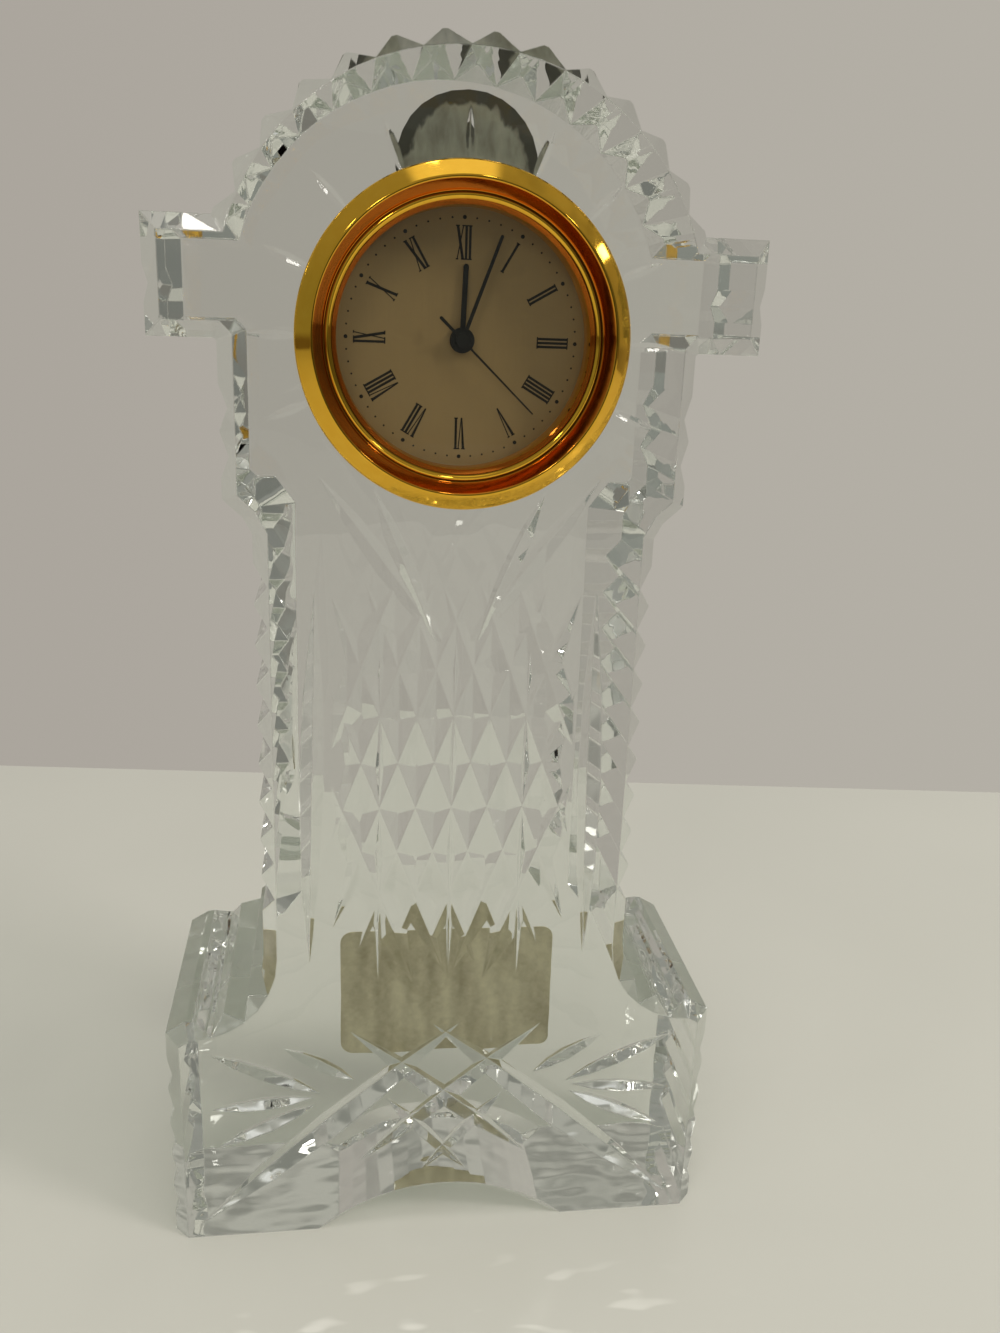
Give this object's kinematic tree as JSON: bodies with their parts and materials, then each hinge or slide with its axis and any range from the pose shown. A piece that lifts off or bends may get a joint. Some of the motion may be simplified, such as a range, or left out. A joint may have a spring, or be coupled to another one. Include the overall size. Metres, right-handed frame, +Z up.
{
  "type": "crystal table clock",
  "caption": "Cut-crystal table clock shaped like a longcase clock, with a gilt-rimmed round quartz insert that pulls out of the hood.",
  "frame": {"origin": "bottom centre of the whole clock's box, on the surface it stands on", "axes": "+Z up, -Y out of the dial towards the viewer, +X to the right as seen from the front"},
  "size_m": [0.0852, 0.0408, 0.1757],
  "materials": {
    "crystal": "clear cut lead crystal, polished",
    "lens_glass": "flat clear glass",
    "gilt": "polished gold plate on brass",
    "dial_metal": "champagne, finely brushed upright, black print",
    "hand_black": "satin black",
    "steel": "plain bright steel",
    "brass": "plain brass",
    "white_plastic": "natural white, moulded",
    "clear_rubber": "clear soft plastic",
    "copper": "enamelled copper wire",
    "board": "green circuit board",
    "epoxy": "black resin",
    "foil": "grey foil, blank",
    "paper": "tan paper, blank"
  },
  "bodies": {
    "clock_body": {"crystal_body": "crystal", "rear_foil_label": "foil", "rear_paper_label": "paper"},
    "insert": {"bezel": "gilt", "lens": "lens_glass", "spacer_ring": "gilt", "dial": "dial_metal", "insert_case": "steel", "case_back": "steel", "grip_ring": "clear_rubber", "main_plate": "brass", "train_bridge": "brass", "plate_screw_1": "steel", "plate_screw_2": "steel", "plate_screw_3": "steel", "stator": "steel", "coil_core": "steel", "coil_bobbin": "white_plastic", "coil_winding": "copper", "circuit_board": "board", "timing_crystal": "steel", "chip_cap": "epoxy", "battery_cell": "steel", "cell_contact_minus": "steel", "cell_contact_plus": "steel"},
    "second": {"seconds_wheel": "brass", "second_hand": "hand_black"},
    "minute": {"centre_wheel": "brass", "cannon_pinion": "steel", "minute_hand": "hand_black"},
    "hour": {"hour_wheel": "brass", "hour_hand": "hand_black"},
    "third": {"third_wheel": "brass"},
    "fifth": {"fifth_wheel": "white_plastic"},
    "rotor": {"rotor": "steel"},
    "motion": {"minute_wheel": "white_plastic"},
    "setting": {"setting_stem": "steel", "setting_knob": "brass"}
  },
  "joints": [
    {"name": "insert_pull", "type": "slide", "parent": "clock_body", "child": "insert", "axis": [0, -1, 0], "range_m": [0, 0.02]},
    {"name": "second_turn", "type": "hinge", "parent": "insert", "child": "second", "pos_m": [0, -0.01773, 0.1395], "axis": [0, 1, 0], "continuous": true},
    {"name": "minute_turn", "type": "hinge", "parent": "insert", "child": "minute", "pos_m": [0, -0.01773, 0.1395], "axis": [0, 1, 0], "continuous": true},
    {"name": "hour_turn", "type": "hinge", "parent": "insert", "child": "hour", "pos_m": [0, -0.01773, 0.1395], "axis": [0, 1, 0], "continuous": true},
    {"name": "third_turn", "type": "hinge", "parent": "insert", "child": "third", "pos_m": [0.0046, -0.01773, 0.13564], "axis": [0, 1, 0], "continuous": true},
    {"name": "fifth_turn", "type": "hinge", "parent": "insert", "child": "fifth", "pos_m": [-0.00209, -0.01773, 0.14523], "axis": [0, 1, 0], "continuous": true},
    {"name": "rotor_turn", "type": "hinge", "parent": "insert", "child": "rotor", "pos_m": [-0.00634, -0.01773, 0.14637], "axis": [0, 1, 0], "continuous": true},
    {"name": "motion_turn", "type": "hinge", "parent": "insert", "child": "motion", "pos_m": [0.00363, -0.01773, 0.14119], "axis": [0, 1, 0], "continuous": true},
    {"name": "setting_turn", "type": "hinge", "parent": "insert", "child": "setting", "pos_m": [0.00743, -0.01773, 0.14297], "axis": [0, 1, 0], "continuous": true}
  ],
  "couplings": [
    {"joint": "rotor_turn", "follows": "second_turn", "ratio": 30},
    {"joint": "fifth_turn", "follows": "second_turn", "ratio": -5},
    {"joint": "third_turn", "follows": "second_turn", "ratio": -0.16667},
    {"joint": "minute_turn", "follows": "second_turn", "ratio": 0.016667},
    {"joint": "motion_turn", "follows": "second_turn", "ratio": -0.0055556},
    {"joint": "hour_turn", "follows": "second_turn", "ratio": 0.0013889},
    {"joint": "setting_turn", "follows": "second_turn", "ratio": 0.013889}
  ]
}
